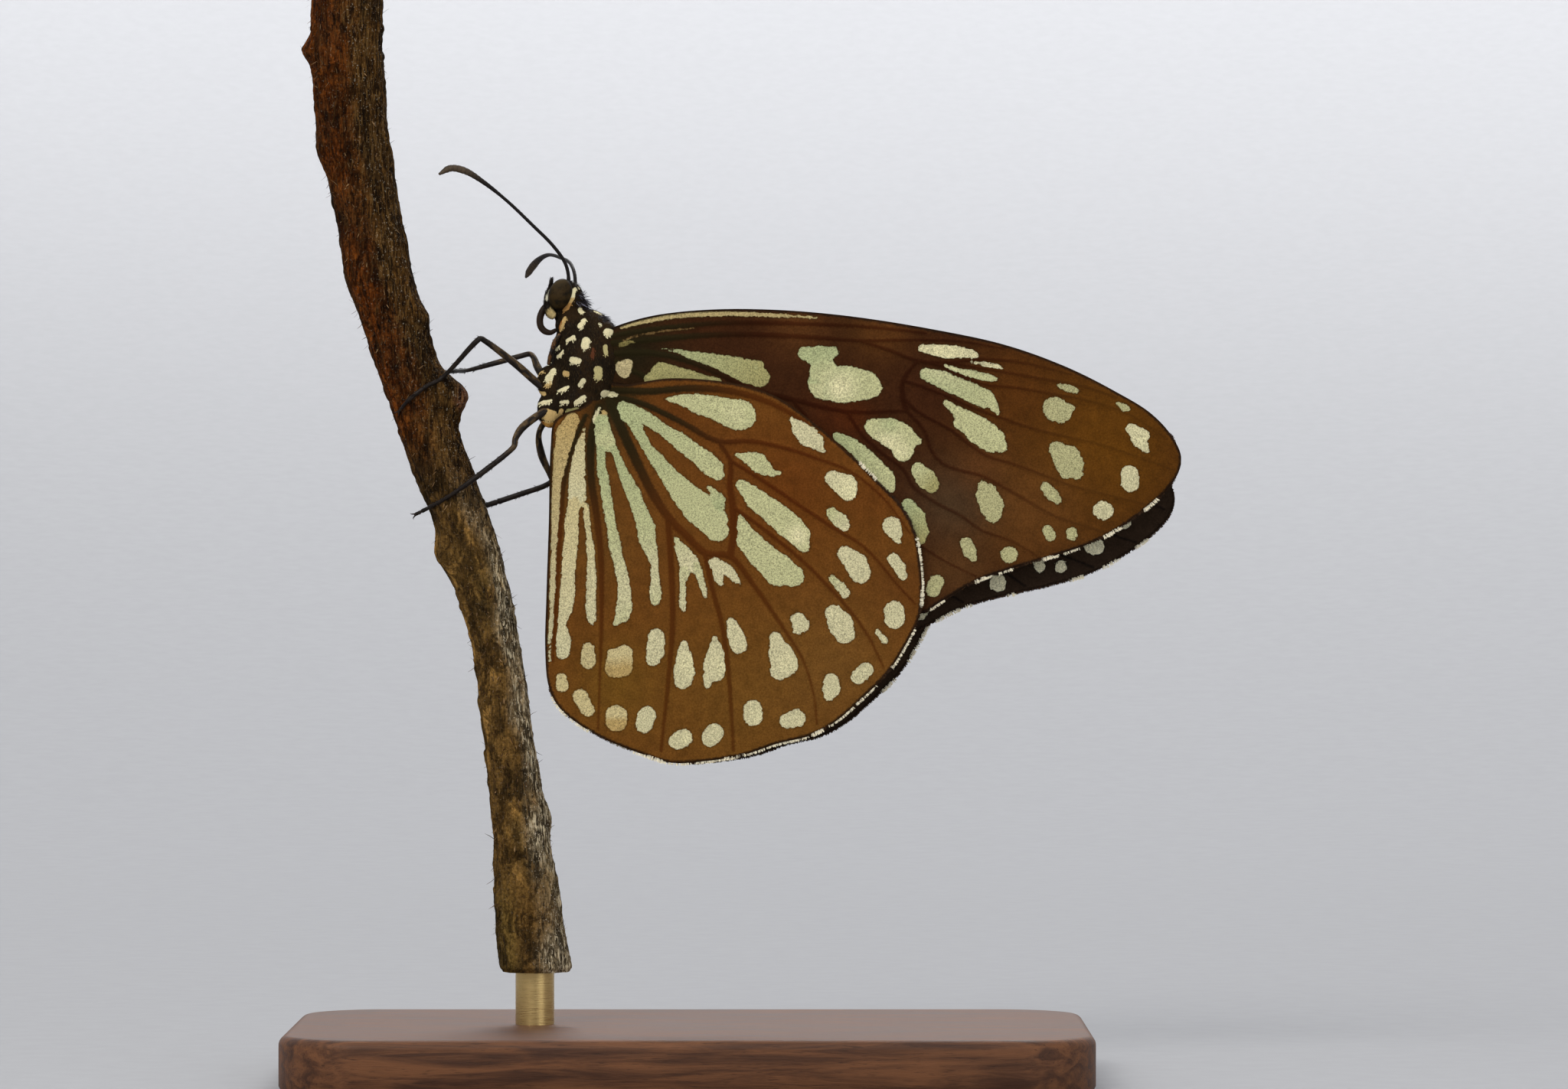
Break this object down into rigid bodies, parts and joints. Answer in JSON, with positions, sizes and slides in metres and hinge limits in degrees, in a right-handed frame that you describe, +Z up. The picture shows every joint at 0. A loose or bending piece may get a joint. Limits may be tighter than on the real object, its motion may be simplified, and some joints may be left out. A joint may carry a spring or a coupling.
{
  "type": "blue tiger butterfly",
  "caption": "Blue tiger butterfly at rest head up on a cut branch, wings closed over its back, dark with pale streaks and spots, on a plain display stand.",
  "frame": {"origin": "centre of the flat base's underside", "axes": "+Z up along the branch, +X from the animal's belly towards its wing tips, the animal's left side faces -Y"},
  "size_m": [0.0735, 0.04, 0.0906],
  "materials": {
    "stand_wood": "satin dark wood",
    "rod_metal": "satin metal",
    "bark": "rough brown bark with fine ridges",
    "body_black": "black hair and scales with white spots",
    "leg_dark": "dark horny skin with pale scales",
    "eye_dark": "glossy dark facets",
    "wing_brown": "brown and black scales with pale bluish-green and cream spots"
  },
  "bodies": {
    "root": {"stand_base": "stand_wood", "stand_rod": "rod_metal", "perch_branch": "bark", "thorax": "body_black", "head": "body_black", "abdomen": "body_black", "eye_left": "eye_dark", "eye_right": "eye_dark", "palp_left": "body_black", "palp_right": "body_black", "proboscis": "leg_dark", "antenna_left": "leg_dark", "antenna_right": "leg_dark", "foreleg_left": "leg_dark", "foreleg_right": "leg_dark", "midleg_left": "leg_dark", "midleg_right": "leg_dark", "hindleg_left": "leg_dark", "hindleg_right": "leg_dark", "forewing_left": "wing_brown", "forewing_right": "wing_brown", "hindwing_left": "wing_brown", "hindwing_right": "wing_brown"}
  },
  "joints": []
}
